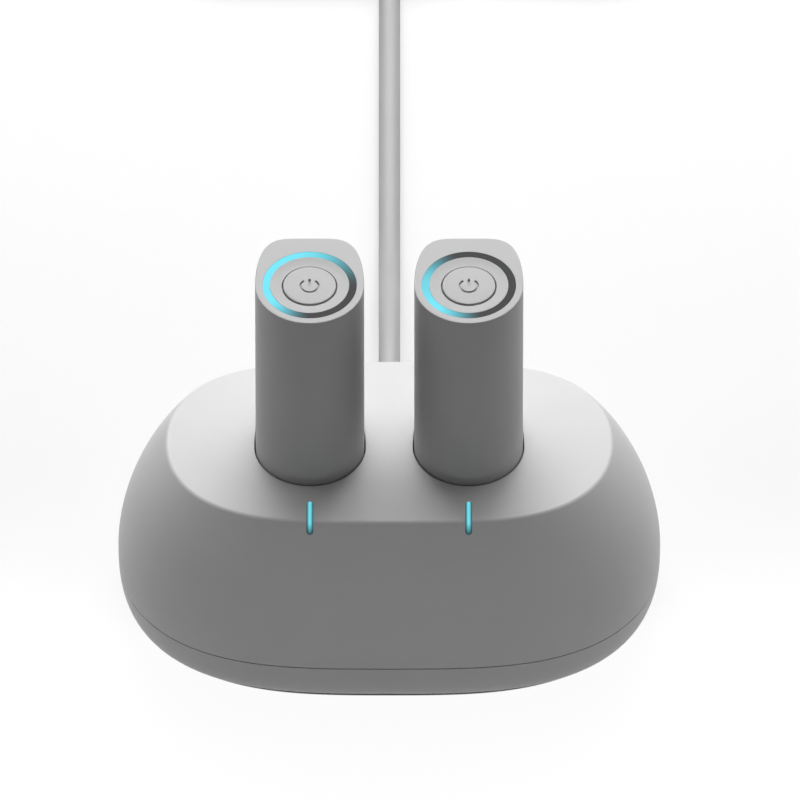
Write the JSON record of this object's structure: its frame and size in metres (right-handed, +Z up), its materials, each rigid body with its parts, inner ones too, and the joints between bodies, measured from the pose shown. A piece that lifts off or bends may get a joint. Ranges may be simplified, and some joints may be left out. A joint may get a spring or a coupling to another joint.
{
  "type": "charging dock for intraoral scanner batteries",
  "caption": "Table dock that stands and charges the battery handles of a wireless intraoral scanner, with a lit power button on each battery and a lead to its supply.",
  "frame": {"origin": "on the table, under the middle of the dock without its lead", "axes": "+X along the dock's length to the right battery, +Y towards the back where the lead leaves, +Z up"},
  "size_m": [0.1595, 0.3778, 0.1277],
  "materials": {
    "housing": "fine-textured moulded light grey plastic",
    "battery": "satin moulded light grey plastic",
    "well": "dark grey moulded plastic",
    "light_guide": "diffusing light guide, lit cyan",
    "black_plastic": "black moulded plastic",
    "board": "green printed circuit board",
    "gold": "gold plated contact",
    "steel": "zinc plated steel",
    "cell_wrap": "shrink wrapped cell",
    "rubber": "matte black rubber",
    "lead": "satin light grey cable jacket",
    "wire": "insulated wire"
  },
  "bodies": {
    "dock": {"ballast_plate": "steel", "board_screw_left": "steel", "board_screw_right": "steel", "bottom_cover": "housing", "coil_tie": "rubber", "cord_tail": "lead", "cover_screw_back_left": "steel", "cover_screw_back_right": "steel", "cover_screw_front_left": "steel", "cover_screw_front_right": "steel", "foot_back_left": "rubber", "foot_back_right": "rubber", "foot_front_left": "rubber", "foot_front_right": "rubber", "lead_coil": "lead", "lead_cord": "lead", "lead_plug": "lead", "left_battery_case": "battery", "left_button_bezel": "battery", "left_button_board": "board", "left_button_switch": "black_plastic", "left_cell": "cell_wrap", "left_cell_holder": "black_plastic", "left_contact_block": "black_plastic", "left_contact_board": "board", "left_contact_pads": "gold", "left_end_cap": "battery", "left_light_bar": "light_guide", "left_light_ring": "light_guide", "left_protection_board": "board", "left_well": "well", "left_wires": "wire", "main_board": "board", "power_inlet": "black_plastic", "right_battery_case": "battery", "right_button_bezel": "battery", "right_button_board": "board", "right_button_switch": "black_plastic", "right_cell": "cell_wrap", "right_cell_holder": "black_plastic", "right_contact_block": "black_plastic", "right_contact_board": "board", "right_contact_pads": "gold", "right_end_cap": "battery", "right_light_bar": "light_guide", "right_light_ring": "light_guide", "right_protection_board": "board", "right_well": "well", "right_wires": "wire", "supply_plug": "lead", "upper_shell": "housing"},
    "left_button": {"left_power_button": "battery"},
    "left_pin_1": {"left_contact_pin_1": "gold"},
    "left_pin_2": {"left_contact_pin_2": "gold"},
    "left_pin_3": {"left_contact_pin_3": "gold"},
    "right_button": {"right_power_button": "battery"},
    "right_pin_1": {"right_contact_pin_1": "gold"},
    "right_pin_2": {"right_contact_pin_2": "gold"},
    "right_pin_3": {"right_contact_pin_3": "gold"}
  },
  "joints": [
    {"name": "left_power_button_press", "type": "slide", "parent": "dock", "child": "left_button", "axis": [0, 0, -1], "range_m": [0, 0.0005], "stiffness_N_per_m": 800, "springref_m": -0.0006},
    {"name": "left_contact_pin_1_press", "type": "slide", "parent": "dock", "child": "left_pin_1", "axis": [0, 0, -1], "range_m": [0, 0.0006], "stiffness_N_per_m": 400, "springref_m": -0.0008},
    {"name": "left_contact_pin_2_press", "type": "slide", "parent": "dock", "child": "left_pin_2", "axis": [0, 0, -1], "range_m": [0, 0.0006], "stiffness_N_per_m": 400, "springref_m": -0.0008},
    {"name": "left_contact_pin_3_press", "type": "slide", "parent": "dock", "child": "left_pin_3", "axis": [0, 0, -1], "range_m": [0, 0.0006], "stiffness_N_per_m": 400, "springref_m": -0.0008},
    {"name": "right_power_button_press", "type": "slide", "parent": "dock", "child": "right_button", "axis": [0, 0, -1], "range_m": [0, 0.0005], "stiffness_N_per_m": 800, "springref_m": -0.0006},
    {"name": "right_contact_pin_1_press", "type": "slide", "parent": "dock", "child": "right_pin_1", "axis": [0, 0, -1], "range_m": [0, 0.0006], "stiffness_N_per_m": 400, "springref_m": -0.0008},
    {"name": "right_contact_pin_2_press", "type": "slide", "parent": "dock", "child": "right_pin_2", "axis": [0, 0, -1], "range_m": [0, 0.0006], "stiffness_N_per_m": 400, "springref_m": -0.0008},
    {"name": "right_contact_pin_3_press", "type": "slide", "parent": "dock", "child": "right_pin_3", "axis": [0, 0, -1], "range_m": [0, 0.0006], "stiffness_N_per_m": 400, "springref_m": -0.0008}
  ]
}
